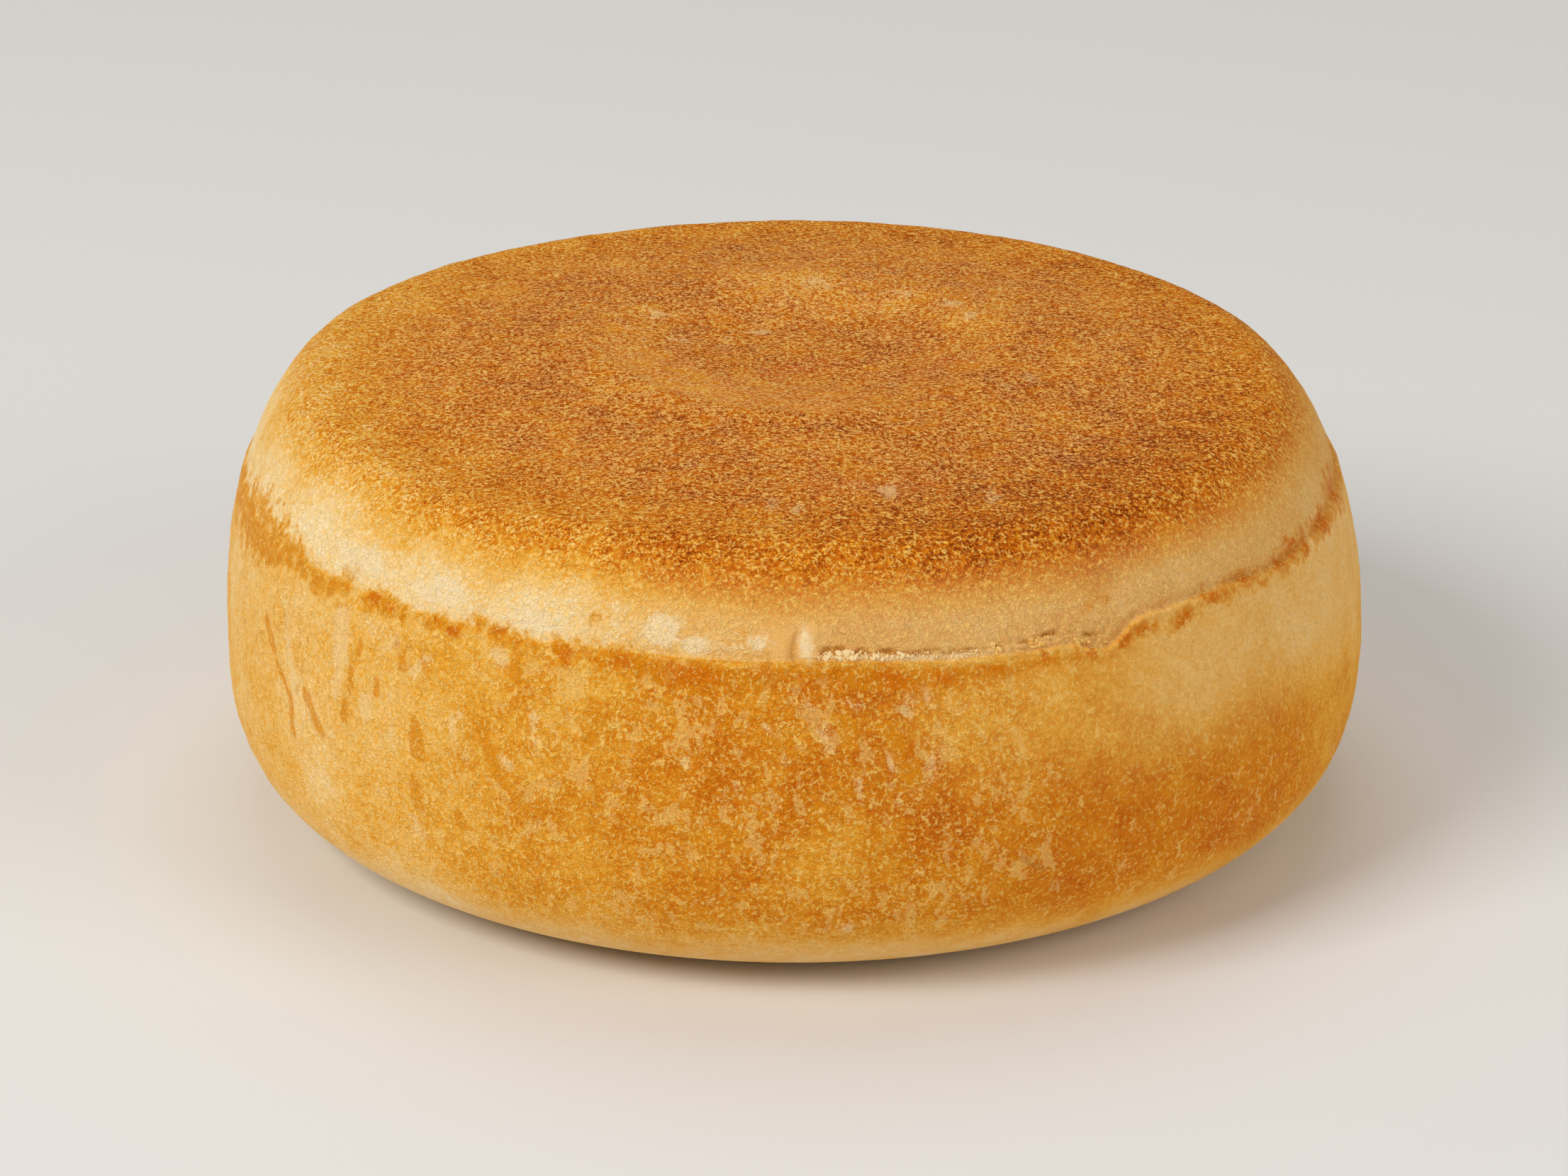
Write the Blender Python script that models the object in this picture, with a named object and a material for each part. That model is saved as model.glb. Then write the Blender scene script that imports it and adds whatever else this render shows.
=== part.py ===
"""A round bread roll in one piece.

A low, flat-topped crown sits over a bulging side that curves in to a flat base. Baking
has split the dough along one level seam under the shoulder, where the side stands a little
proud of the crown, and the crown's middle has sunk into a shallow dish.
"""

import bmesh
import bpy
import numpy as np

# Driving dimensions, in metres. The roll stands on z = 0 with its middle at x = y = 0.
BELLY_RADIUS = 0.0500
BELLY_HEIGHT = 0.01585
BASE_RADIUS = 0.0308
CROWN_RADIUS = 0.0407
CROWN_HEIGHT = 0.03785
CROWN_RISE = 0.0024
CROWN_SHIFT = 0.0004

# How full the curves are. An exponent of 2 is a quarter ellipse, and more is squarer.
SIDE_FULLNESS = 2.84
SHOULDER_FULLNESS = 1.88

# The seam: its height, how far it opens and cuts in, and how far the side stands proud.
SEAM_HEIGHT = 0.0302
SEAM_WAVE_REACH = 0.0060
SEAM_HALF_WIDTH = 0.0005
SEAM_DEPTH = 0.0003
SEAM_OPEN_DEPTH = 0.0007
SEAM_OPEN_AT = np.radians(18)
SEAM_OPEN_SPREAD = np.radians(26)
LEDGE_STEP = 0.00015
LEDGE_REACH = 0.0030

# The dish in the crown, with its middle a little behind the roll's own.
DISH_CENTRE = (0.0013, 0.0033)
DISH_RADIUS = 0.0200
DISH_FLOOR = 0.0060
DISH_DEPTH = 0.0018

# Unevenness: (size in metres, waves round the roll, angle of the first crest).
SIDE_WAVES = ((0.00022, 2, 0.5), (0.00016, 3, 2.2), (0.00010, 5, 4.1))
SEAM_WAVES = ((0.00028, 2, -0.7), (0.00030, 3, -2.0), (0.00016, 9, 0.9))
CROWN_WAVES = ((0.00015, 1, -2.6), (0.00020, 3, 0.05), (0.00012, 4, 0.0))

# Points nearer than this are one point.
ROUNDING = 0.00001

SEGMENTS = 80
SIDE_STEPS = 15
UPPER_STEPS = 20
CROWN_RADII = (0.0370, 0.0330, 0.0290, 0.0250, 0.0215, 0.0185, 0.0155, 0.0125, 0.0090, 0.0050)
SEAM_RINGS = (-0.0024, -0.0010, -0.0004, 0.0, 0.0004, 0.0010)
SEAM_GAP = (-0.0030, 0.0016)

CRUST_COLOUR = (0.578, 0.242, 0.048, 1.0)
CRUST_ROUGHNESS = 0.62


def waves(angle, table):
    """Sum of the table's cosine waves round the roll."""
    return sum(size * np.cos(count * (angle - crest)) for size, count, crest in table)


def smooth_step(low, high, value):
    """0 up to low, 1 from high, and a smooth rise between."""
    t = np.clip((value - low) / (high - low), 0, 1)
    return t * t * (3 - 2 * t)


def quarter_curve(inner, outer, part, fullness):
    """Radius on a quarter curve, from outer at part 0 to inner at part 1."""
    return inner + (outer - inner) * (1 - min(1, part) ** fullness) ** (1 / fullness)


def side_radius(height):
    """Radius of the plain turned form at a height: two quarter curves that meet at the belly."""
    if height < BELLY_HEIGHT:
        down = (BELLY_HEIGHT - height) / BELLY_HEIGHT
        return quarter_curve(BASE_RADIUS, BELLY_RADIUS, down, SIDE_FULLNESS)
    up = (height - BELLY_HEIGHT) / (CROWN_HEIGHT - BELLY_HEIGHT)
    return quarter_curve(CROWN_RADIUS, BELLY_RADIUS, up, SHOULDER_FULLNESS)


def profile():
    """The half outline that is turned into the roll, from the base's middle to the crown's."""
    below = [BELLY_HEIGHT * (1 - np.sin(turn) ** (2 / SIDE_FULLNESS))
             for turn in np.linspace(np.pi / 2, 0, SIDE_STEPS, endpoint=False)]
    above = [BELLY_HEIGHT + (CROWN_HEIGHT - BELLY_HEIGHT) * np.sin(turn) ** (2 / SHOULDER_FULLNESS)
             for turn in np.linspace(0, np.pi / 2, UPPER_STEPS)]
    clear_of_seam = [height for height in above if not SEAM_GAP[0] < height - SEAM_HEIGHT < SEAM_GAP[1]]
    heights = below + sorted(clear_of_seam + [SEAM_HEIGHT + ring for ring in SEAM_RINGS])
    points = [(0, 0)]
    points += [(side_radius(height), height) for height in heights]
    points += [(radius, CROWN_HEIGHT) for radius in CROWN_RADII]
    return points + [(0, CROWN_HEIGHT)]


def seam_cut(angle, above):
    """How far the surface stands in or out at a height above the seam."""
    opening = np.exp(-((angle - SEAM_OPEN_AT) / SEAM_OPEN_SPREAD) ** 2)
    depth = SEAM_DEPTH + SEAM_OPEN_DEPTH * opening
    groove = -depth * np.exp(-((above / SEAM_HALF_WIDTH) ** 2))
    if above < 0:
        return groove + LEDGE_STEP * np.exp(above / LEDGE_REACH)
    return groove - LEDGE_STEP * np.exp(-above / LEDGE_REACH)


def crown_lift(x, y):
    """Height of the crown over its edge: a low dome with the dish pressed into it."""
    radius = np.hypot(x, y)
    dome = CROWN_RISE * (1 - smooth_step(0, BELLY_RADIUS, radius))
    from_dish = np.hypot(x - DISH_CENTRE[0], y - DISH_CENTRE[1])
    dish = DISH_DEPTH * (1 - smooth_step(DISH_FLOOR, DISH_RADIUS, from_dish))
    tilt = waves(np.arctan2(x, -y), CROWN_WAVES) * smooth_step(0, CROWN_RADIUS, radius)
    return dome - dish + tilt


def shape(vert):
    """Moves one point of the turned form to where baking has left it."""
    x, y, height = vert.co
    if height <= 0:
        return
    radius = np.hypot(x, y)
    angle = np.arctan2(x, -y)
    if radius > CROWN_RADIUS + ROUNDING:
        above = height - SEAM_HEIGHT
        height += waves(angle, SEAM_WAVES) * np.exp(-((above / SEAM_WAVE_REACH) ** 2))
        radius = side_radius(height) + seam_cut(angle, above)
    radius += waves(angle, SIDE_WAVES) * smooth_step(0, BELLY_HEIGHT, height) * radius / BELLY_RADIUS
    x = radius * np.sin(angle)
    y = -radius * np.cos(angle)
    lifted = height + crown_lift(x, y) * smooth_step(SEAM_HEIGHT, CROWN_HEIGHT, height)
    shifted = x - CROWN_SHIFT * smooth_step(BELLY_HEIGHT, CROWN_HEIGHT, height)
    vert.co = (shifted, y, lifted)


def centre_on_origin(bm):
    """Puts the middle of the roll's width and depth over the origin."""
    across = [vert.co.x for vert in bm.verts]
    deep = [vert.co.y for vert in bm.verts]
    middle = ((min(across) + max(across)) / 2, (min(deep) + max(deep)) / 2, 0)
    bmesh.ops.translate(bm, vec=[-value for value in middle], verts=bm.verts)


def crust_material():
    """The baked crust, one tan brown all over."""
    material = bpy.data.materials.new("crust")
    material.use_nodes = True
    shader = material.node_tree.nodes["Principled BSDF"]
    shader.inputs["Base Color"].default_value = CRUST_COLOUR
    shader.inputs["Roughness"].default_value = CRUST_ROUGHNESS
    shader.inputs["Metallic"].default_value = 0.0
    material.diffuse_color = CRUST_COLOUR
    return material


def bread_roll():
    """Turns the profile about the upright axis, shapes it and gives it its crust."""
    bm = bmesh.new()
    verts = [bm.verts.new((0, -radius, height)) for radius, height in profile()]
    edges = [bm.edges.new(pair) for pair in zip(verts, verts[1:])]
    bmesh.ops.spin(bm, geom=verts + edges, cent=(0, 0, 0), axis=(0, 0, 1), angle=2 * np.pi,
                   steps=SEGMENTS, use_duplicate=False)
    bmesh.ops.remove_doubles(bm, verts=bm.verts, dist=ROUNDING)
    for vert in bm.verts:
        shape(vert)
    centre_on_origin(bm)
    bmesh.ops.recalc_face_normals(bm, faces=bm.faces)
    bmesh.ops.triangulate(bm, faces=[face for face in bm.faces if len(face.verts) > 3])
    mesh = bpy.data.meshes.new("bread_roll")
    bm.to_mesh(mesh)
    bm.free()
    mesh.shade_smooth()
    mesh.materials.append(crust_material())
    roll = bpy.data.objects.new("bread_roll", mesh)
    bpy.context.collection.objects.link(roll)
    return roll


for old in list(bpy.data.objects):
    bpy.data.objects.remove(old)
bread_roll()
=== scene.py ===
"""The looks of a round bread roll with a browned crown, a pale band and a torn seam."""

import bpy
import numpy as np
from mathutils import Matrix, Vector, noise


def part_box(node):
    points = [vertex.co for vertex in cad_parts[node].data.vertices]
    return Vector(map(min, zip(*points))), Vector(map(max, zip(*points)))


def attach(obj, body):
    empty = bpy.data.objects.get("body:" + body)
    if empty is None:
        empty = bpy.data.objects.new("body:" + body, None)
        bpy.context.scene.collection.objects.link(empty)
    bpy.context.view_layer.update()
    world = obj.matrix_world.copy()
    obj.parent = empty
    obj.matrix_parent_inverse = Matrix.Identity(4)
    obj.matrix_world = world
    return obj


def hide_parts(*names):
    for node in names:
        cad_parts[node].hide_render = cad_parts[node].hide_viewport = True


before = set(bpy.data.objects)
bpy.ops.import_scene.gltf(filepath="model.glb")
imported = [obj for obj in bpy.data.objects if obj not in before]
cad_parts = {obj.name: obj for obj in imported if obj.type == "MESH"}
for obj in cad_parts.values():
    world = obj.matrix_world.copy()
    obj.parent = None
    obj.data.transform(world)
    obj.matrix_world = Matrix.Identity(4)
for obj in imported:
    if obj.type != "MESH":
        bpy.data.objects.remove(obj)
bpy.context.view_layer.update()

# The roll: one piece of white bread dough, baked on a tray so that the base is flat, the side
# bulges and the crown is level. It is turned from its half outline, and then the seam, the
# dish and all the unevenness of the crust are pressed into its points.
mm = 0.001
low_corner, high_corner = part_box("bread_roll")
belly_radius = (high_corner.x - low_corner.x + high_corner.y - low_corner.y) / 4
roll_height = high_corner.z
belly_height = 0.400 * roll_height
base_radius = 0.616 * belly_radius
crown_radius = 0.814 * belly_radius
crown_height = roll_height - 1.85 * mm
side_fullness = 2.84
shoulder_fullness = 1.88
seam_height = 30.2 * mm


def smooth(low, high, value):
    """0 up to low, 1 from high, and a smooth rise between."""
    t = np.clip((value - low) / (high - low), 0, 1)
    return t * t * (3 - 2 * t)


def between(start, full, fading, end, value):
    """0 up to start, 1 from full to fading and 0 from end, with smooth slopes between."""
    return smooth(start, full, value) * (1 - smooth(fading, end, value))


def hump(value, middle, reach):
    """1 at the middle, falling off to both sides over the reach."""
    return np.exp(-(((value - middle) / reach) ** 2))


def waves(angle, table):
    """Sum of cosine waves round the roll, each given as size, count and angle of its first crest."""
    return sum(size * np.cos(count * (angle - crest)) for size, count, crest in table)


def quarter_curve(inner, part, fullness):
    """Radius on a quarter curve from the belly, at part 0, in to the inner radius, at part 1."""
    return inner + (belly_radius - inner) * (1 - part**fullness) ** (1 / fullness)


def side_radius(height):
    """Radius of the plain turned form: one quarter curve below the belly and one above."""
    down = np.clip((belly_height - height) / belly_height, 0, 1)
    up = np.clip((height - belly_height) / (crown_height - belly_height), 0, 1)
    below = quarter_curve(base_radius, down, side_fullness)
    above = quarter_curve(crown_radius, up, shoulder_fullness)
    return np.where(height < belly_height, below, above)


# The outline is cut into rings that lie closest by the seam and widest apart near the base.
# Inside the patch radius, the crown is one grid of faces instead.
segments = 480
patch_radius = 38 * mm
base_ring_radii = np.array([0, 8, 16, 24]) * mm
ring_spacing, closer_by_seam, wider_at_base = 0.56 * mm, 0.35 * mm, 0.6 * mm
torn_middle = 0.5 * mm
dense_count = 1500
turn = np.linspace(0, np.pi / 2, dense_count)
dense_low = belly_height * (1 - np.sin(turn[::-1]) ** (2 / side_fullness))
dense_up = belly_height + (crown_height - belly_height) * np.sin(turn) ** (2 / shoulder_fullness)
dense_heights = np.concatenate([dense_low, dense_up[1:]])
outline = np.stack([side_radius(dense_heights), dense_heights], 1)
outline = np.vstack([outline, [[patch_radius, crown_height]]])
reach = np.concatenate([[0], np.cumsum(np.linalg.norm(np.diff(outline, axis=0), axis=1))])
off_seam = np.abs(outline[:, 1] - seam_height - torn_middle)
spacing = ring_spacing - closer_by_seam * (1 - smooth(1.2 * mm, 2.4 * mm, off_seam))
spacing += wider_at_base * (1 - smooth(1.0 * mm, 6.0 * mm, outline[:, 1]))
ring_count = np.concatenate([[0], np.cumsum(np.diff(reach) / spacing[:-1])])
ring_reach = np.interp(np.linspace(0, ring_count[-1], round(ring_count[-1]) + 1), ring_count, reach)
rings = np.stack([np.interp(ring_reach, reach, outline[:, axis]) for axis in (0, 1)], 1)
half_outline = [(0, -radius, 0) for radius in base_ring_radii]
half_outline += [(0, -radius, height) for radius, height in rings]

bpy.ops.object.select_all(action="DESELECT")
roll_mesh = bpy.data.meshes.new("bread_crust")
roll_mesh.from_pydata(half_outline, [(i, i + 1) for i in range(len(half_outline) - 1)], [])
roll = bpy.data.objects.new("bread_crust", roll_mesh)
bpy.context.collection.objects.link(roll)
bpy.context.view_layer.objects.active = roll
roll.select_set(True)
bpy.ops.object.mode_set(mode="EDIT")
bpy.ops.mesh.select_all(action="SELECT")
bpy.ops.mesh.spin(steps=segments, angle=2 * np.pi, center=(0, 0, 0), axis=(0, 0, 1))
bpy.ops.mesh.select_all(action="SELECT")
bpy.ops.mesh.remove_doubles(threshold=0.01 * mm)
bpy.ops.mesh.select_all(action="DESELECT")
bpy.ops.mesh.select_non_manifold()
bpy.ops.mesh.fill_grid(span=segments // 4)
bpy.ops.mesh.select_all(action="SELECT")
bpy.ops.mesh.normals_make_consistent(inside=False)
bpy.ops.mesh.select_all(action="DESELECT")
bpy.ops.object.mode_set(mode="OBJECT")

# Where the seam is torn open, in front, and round the short crack low on the side, the faces
# are cut finer to hold the ragged lip and the crack's thin line.
centres = np.empty(len(roll_mesh.polygons) * 3)
roll_mesh.polygons.foreach_get("center", centres)
centres = centres.reshape(-1, 3)
round_at = np.degrees(np.arctan2(centres[:, 0], -centres[:, 1]))
torn_from, torn_to = -17, 42
torn = (round_at > torn_from) & (round_at < torn_to)
torn &= np.abs(centres[:, 2] - seam_height - 0.55 * mm) < 1.5 * mm
crack_middle, crack_height = 22.7, 12.3 * mm
cracked = (np.abs(round_at - crack_middle) < 2.6) & (np.abs(centres[:, 2] - crack_height) < 1.8 * mm)
roll_mesh.polygons.foreach_set("select", torn | cracked)
bpy.ops.object.mode_set(mode="EDIT")
bpy.ops.mesh.subdivide(number_cuts=2, quadcorner="INNERVERT")
bpy.ops.mesh.select_all(action="DESELECT")
bpy.ops.object.mode_set(mode="OBJECT")


def along(table, degrees):
    """Value at an angle, from (angle, value) pairs that start at -180 and end at 180."""
    angles, values = np.array(table, float).T
    after = np.clip(np.searchsorted(angles, degrees), 1, len(angles) - 1)
    share = smooth(angles[after - 1], angles[after], degrees)
    return values[after - 1] * (1 - share) + values[after] * share


# The form that baking has left: a seam that runs unevenly round the roll, with the side a
# little proud of the crown, a low domed crown with a dish sunk into it, and a slight lean.
side_waves = ((0.22 * mm, 2, 0.5), (0.16 * mm, 3, 2.2), (0.10 * mm, 5, 4.1))
crown_waves = ((0.15 * mm, 1, -2.6), (0.20 * mm, 3, 0.05), (0.12 * mm, 4, 0.0))
seam_course = (
    (-180, 0.0), (-125, 0.2), (-72, -0.6), (-50, -0.2), (-30, -0.15), (-12, 0.1), (2, 0.05),
    (19, -0.45), (27, -0.6), (31.3, -1.4), (36.5, 0.25), (46, 0.25), (60, -0.65), (85, -0.5),
    (135, 0.2), (180, 0.0),
)
crown_rise = 2.4 * mm
crown_shift = 0.4 * mm
dish_centre = (1.3 * mm, 3.3 * mm)
dish_floor, dish_radius, dish_depth = 6 * mm, 20 * mm, 1.8 * mm
ledge_step, ledge_reach = 0.16 * mm, 3.0 * mm
ledge_edge = (
    (-180, 0.4), (-90, 0.9), (-40, 0.9), (-15, 0.4), (0, 0.12), (40, 0.12), (80, 0.2), (180, 0.4),
)
seam_reach = 6.5 * mm

count = len(roll_mesh.vertices)
start = np.empty(count * 3)
roll_mesh.vertices.foreach_get("co", start)
start = start.reshape(-1, 3)
radius = np.hypot(start[:, 0], start[:, 1])
angle = np.arctan2(start[:, 0], -start[:, 1])
degrees = np.degrees(angle)
height = start[:, 2]
on_crown = (radius < crown_radius - 0.05 * mm) & (height > seam_height)
on_base = height < 0.001 * mm
above = height - seam_height


def crown_lift(x, y):
    """Height of the crown over its edge: a low dome with the dish sunk into it."""
    from_middle = np.hypot(x, y)
    from_dish = np.hypot(x - dish_centre[0], y - dish_centre[1])
    dome = crown_rise * (1 - smooth(0, belly_radius, from_middle))
    dish = dish_depth * (1 - smooth(dish_floor, dish_radius, from_dish))
    return dome - dish + waves(np.arctan2(x, -y), crown_waves) * smooth(0, crown_radius, from_middle)


course = along(seam_course, degrees) * mm
raised = height + course * (1 - smooth(0, seam_reach, np.abs(above)))
step = -np.tanh(above / (along(ledge_edge, degrees) * mm)) * ledge_step
off_crown = ~on_crown & (height > 0)
baked_radius = side_radius(raised) + step * np.exp(-np.abs(above) / ledge_reach)
out = np.where(off_crown, baked_radius, radius)
out = out + waves(angle, side_waves) * smooth(0, belly_height, height) * out / belly_radius
x, y = out * np.sin(angle), -out * np.cos(angle)
up = np.where(off_crown, raised, height)
up = up + crown_lift(x, y) * smooth(seam_height, crown_height, height)
x = x - crown_shift * smooth(belly_height, crown_height, height)
points = np.stack([x, y, np.where(height <= 0, 0, up)], -1)
roll_mesh.vertices.foreach_set("co", points.astype(np.float32).ravel())
roll_mesh.update()


def fractal(points, size, octaves=3, shift=0.0):
    """Smooth noise from about -1 to 1 at each point, with patches of about the given size."""
    return np.array([noise.fractal(Vector(point), 0.6, 2.0, octaves) for point in points / size + shift])


def streaks(table, across, up):
    """Strongest of some long marks: the places of both ends, half width in mm and strength."""
    total = np.zeros(len(across))
    degree = np.radians(1) * belly_radius / mm
    for x, y, end_x, end_y, wide, strength in table:
        long_x, long_y = (end_x - x) * degree, end_y - y
        off_x, off_y = (across - x) * degree, up - y
        share = np.clip((off_x * long_x + off_y * long_y) / (long_x**2 + long_y**2), 0, 1)
        apart = np.hypot(off_x - share * long_x, off_y - share * long_y)
        total = np.maximum(total, strength * np.exp(-((apart / wide) ** 2)))
    return total


def patches(table, across, up):
    """Strongest of some soft oval marks: place across and up, half width and height, strength."""
    total = np.zeros(len(across))
    for x, y, wide, tall, strength in table:
        apart = ((across - x) / wide) ** 2 + ((up - y) / tall) ** 2
        total = np.maximum(total, strength * np.exp(-apart))
    return total


# Relief in the crust, along the surface's own normal: low lumps and pimples all over, upright
# wrinkles on the left and a groove along the seam. Angles round the roll are in degrees from
# the front, and heights are in mm over the seam.
normals = np.empty(count * 3)
roll_mesh.vertex_normals.foreach_get("vector", normals)
normals = normals.reshape(-1, 3)
around = np.stack([np.sin(angle) * belly_radius, -np.cos(angle) * belly_radius, above], 1)
over = above / mm
side_share = smooth(2 * mm, 6 * mm, height) * ~on_crown

ragged = fractal(around, 0.8 * mm, 2, 2.2)
uneven = fractal(around, 2.4 * mm, 2, 9.0)
lump_height, small_lump_height, pimple_height = 0.10 * mm, 0.05 * mm, 0.035 * mm
lumps = lump_height * fractal(points, 14 * mm, 2, 3.1)
lumps = lumps + small_lump_height * fractal(points, 4.5 * mm, 3, 7.7)
pimples = pimple_height * fractal(points, 1.6 * mm, 2, 1.3)
wrinkle_width, wrinkle_length, wrinkle_depth = 1.5 * mm, 11 * mm, 0.16 * mm
wrinkle_scale = np.array([1 / wrinkle_width, 1 / wrinkle_width, 1 / wrinkle_length])
wrinkle_noise = fractal(around * wrinkle_scale, 1.0, 2, 5.5)
left_side = hump(degrees, -60, 22) * hump(over, -10, 8)
wrinkles = -wrinkle_depth * smooth(0.05, 0.5, wrinkle_noise) * left_side * side_share
seam_sharpness = (
    (-180, 0.5), (-90, 0.4), (-30, 0.3), (-5, 0.5), (3, 0.2), (30, 0.6), (34, 1), (70, 1), (180, 0.5),
)
groove_depth = 0.24 * mm
groove = -groove_depth * along(seam_sharpness, degrees) * hump(over, 0.15, 0.32)
groove = groove * np.clip(1 + 0.9 * uneven, 0.1, 2)

# The torn seam in front: gaps under the crown's ragged edge, each given as middle angle, half
# width in degrees, bottom and top, over a raised lip with teeth of torn dough on its right.
gaps = (
    (4.4, 1.7, 0.42, 1.40), (6.9, 1.3, 0.50, 1.05), (9.2, 1.2, 0.50, 1.05), (12.6, 1.4, 0.45, 0.95),
    (16.4, 2.0, 0.40, 0.75), (20.2, 0.6, 0.50, 0.90), (22.8, 0.7, 0.60, 1.00),
    (25.6, 1.4, 0.85, 1.35), (28.2, 0.5, 0.80, 1.10), (30.3, 1.2, 0.80, 1.30),
)
gap_depth = 0.24 * mm
# The gap mask sinks the surface, and the finish also paints it darker as shade.
shaded_gap = np.zeros(count)
for at, half_width, bottom, top in gaps:
    within = np.clip(1 - np.abs((degrees - at) / half_width) ** 3, 0, 1)
    ceiling = bottom + (top - bottom) * within * (1 + 0.35 * ragged)
    inside = between(bottom - 0.05, bottom + 0.10, ceiling - 0.45, ceiling + 0.10, over)
    shaded_gap = np.maximum(shaded_gap, inside * smooth(0, 0.5, within))
lip_height, ridge_height, teeth_height = 0.20 * mm, 0.16 * mm, 0.22 * mm
lip_top = 0.42 + 0.30 * ragged
lip = lip_height * between(-0.45, 0.05, lip_top, lip_top + 0.15, over)
lip = lip * between(-4, 2, 29, 32, degrees) * (1 + 0.5 * ragged)
ridge = ridge_height * hump(over, -0.22, 0.20) * between(31, 33, 40, 46, degrees)
teeth = teeth_height * between(19, 22, 31, 33, degrees) * hump(over, 0.7, 0.9)
teeth = teeth * fractal(around, 0.6 * mm, 2, 6.6)

# A tongue of dough that still joins crown and side beside the gap, with a groove on its left.
tongue_at, tongue_half, tongue_lean = 1.6, 1.2, 0.25
tongue_height, tongue_groove_depth = 0.26 * mm, 0.20 * mm
tongue_side = (degrees - tongue_at) / tongue_half - tongue_lean * np.clip(over - 1, 0, 2)
tongue_high = between(-0.2, 0.2, 1.6, 2.7, over)
tongue = tongue_height * np.exp(-(tongue_side**4)) * tongue_high
tongue_line = hump(tongue_side, -1.1, 0.30) * tongue_high
tongue_groove = -tongue_groove_depth * tongue_line

# The fold that runs round the front of the dish, and one small blister low on the side.
from_dish = np.hypot(points[:, 0] - dish_centre[0], points[:, 1] - dish_centre[1])
dish_angle = np.degrees(np.arctan2(points[:, 0] - dish_centre[0], -(points[:, 1] - dish_centre[1])))
fold_course = (
    (-180, 17.5), (-75, 18), (-53, 18.3), (-38, 18.8), (-25, 19.2), (-9, 19.8), (6, 19.9),
    (16, 18.6), (40, 17.5), (180, 17.5),
)
fold_height, fold_waver, blister_height = 0.28 * mm, 0.3 * mm, 0.16 * mm
fold_radius = along(fold_course, dish_angle) * mm + fold_waver * fractal(points, 4 * mm, 2, 4.0)
fold_share = between(-95, -60, 8, 30, dish_angle) * on_crown
past_fold = from_dish - fold_radius
fold = fold_height * fold_share * between(-0.7 * mm, 0, 0, 4 * mm, past_fold)
dish_zone = fold_share * between(-11 * mm, -4 * mm, -0.3 * mm, 0.3 * mm, past_fold)
blister = blister_height * patches(((5.1, -22.5, 0.75, 0.75, 1.0),), degrees, over) * ~on_crown

relief = (lumps + pimples) * np.where(on_crown, 1, side_share) + wrinkles + groove + lip + ridge
relief = relief + teeth + tongue + tongue_groove + fold + blister - gap_depth * shaded_gap
relief = relief * ~on_base
points = points + normals * relief[:, None]
roll_mesh.vertices.foreach_set("co", points.astype(np.float32).ravel())
roll_mesh.shade_smooth()
roll_mesh.update()

# How the oven has coloured the crust, kept on its points for the finish to read: first how
# browned it is over the seam, where a pale band fades into the brown crown. The way up the
# shoulder is measured along the crust, in mm from the seam.
shoulder_length, shoulder_slope = 10.2, 1.34
along_shoulder = np.where(on_crown, shoulder_length + (crown_radius - radius) / mm, over * shoulder_slope)
fade_from = along((
    (-180, 3.5), (-90, 2.5), (-50, 3.2), (-20, 3.6), (0, 3.2), (30, 3.4), (60, 3.0), (180, 3.5),
), degrees)
fade_to = along((
    (-180, 12), (-90, 17), (-50, 15), (-20, 11), (0, 9), (45, 9.5), (75, 12), (180, 12),
), degrees)
edge_brown = along((
    (-180, 0.56), (-100, 0.47), (-60, 0.50), (-30, 0.54), (0, 0.60), (35, 0.69), (70, 0.60),
    (180, 0.56),
), degrees)
pale_brown = along((
    (-180, 0.2), (-60, 0.06), (-25, 0.12), (-8, 0.26), (10, 0.33), (60, 0.30), (180, 0.2),
), degrees)
crown_marks = (
    (-4.2, -2.0, 2.6, 1.4, 0.05), (-1.5, -0.4, 2.4, 1.5, 0.06), (0.9, 1.6, 1.8, 1.3, 0.04),
    (12.8, -0.9, 1.9, 1.8, 0.10), (11.0, -2.5, 1.6, 1.2, 0.10), (4.0, -19.5, 6.0, 1.8, 0.10),
)
crown_pale = (
    (1.2, 20.0, 6.0, 5.0, 0.14), (9.0, 15.0, 6.0, 4.0, 0.12), (15.5, 6.0, 3.0, 7.0, 0.10),
    (-14.0, 3.0, 3.0, 8.0, 0.10), (-7.0, -11.0, 7.0, 3.6, 0.08),
)
x_mm, y_mm = points[:, 0] / mm, points[:, 1] / mm
middle_brown = 0.57
middle_brown = middle_brown + patches(crown_marks, x_mm, y_mm) - patches(crown_pale, x_mm, y_mm)
ring_share = smooth(26, 37, radius / mm)
top_brown = middle_brown * (1 - ring_share) + edge_brown * ring_share
fade = smooth(0, 1, np.clip((along_shoulder - fade_from) / (fade_to - fade_from), 0, 1) ** 0.75)
upper_brown = pale_brown + (top_brown - pale_brown) * fade

# How browned the side is: just under the seam, lower down, and paler again at the foot, partly as painted
# bounce light on the foot's shaded underside.
high_brown = along((
    (-180, 0.45), (-110, 0.32), (-70, 0.23), (-42, 0.29), (-22, 0.42), (-8, 0.56), (12, 0.56),
    (26, 0.46), (42, 0.32), (75, 0.24), (110, 0.32), (180, 0.45),
), degrees)
low_brown = along((
    (-180, 0.48), (-110, 0.38), (-70, 0.26), (-42, 0.32), (-22, 0.45), (0, 0.51), (25, 0.58),
    (50, 0.58), (75, 0.42), (110, 0.38), (180, 0.48),
), degrees)
side_marks = (
    (-7.2, -10.5, 3.4, 4.0, 0.05), (-0.7, -13.9, 3.0, 3.5, 0.04), (-15.2, -9.9, 2.8, 3.5, 0.05),
    (14.3, -12.8, 3.5, 3.5, 0.05), (26.3, -11.4, 3.0, 3.0, 0.06), (34.2, -16.1, 4.0, 4.0, 0.04),
    (43.3, -16.4, 4.0, 4.0, 0.03),
)
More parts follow.
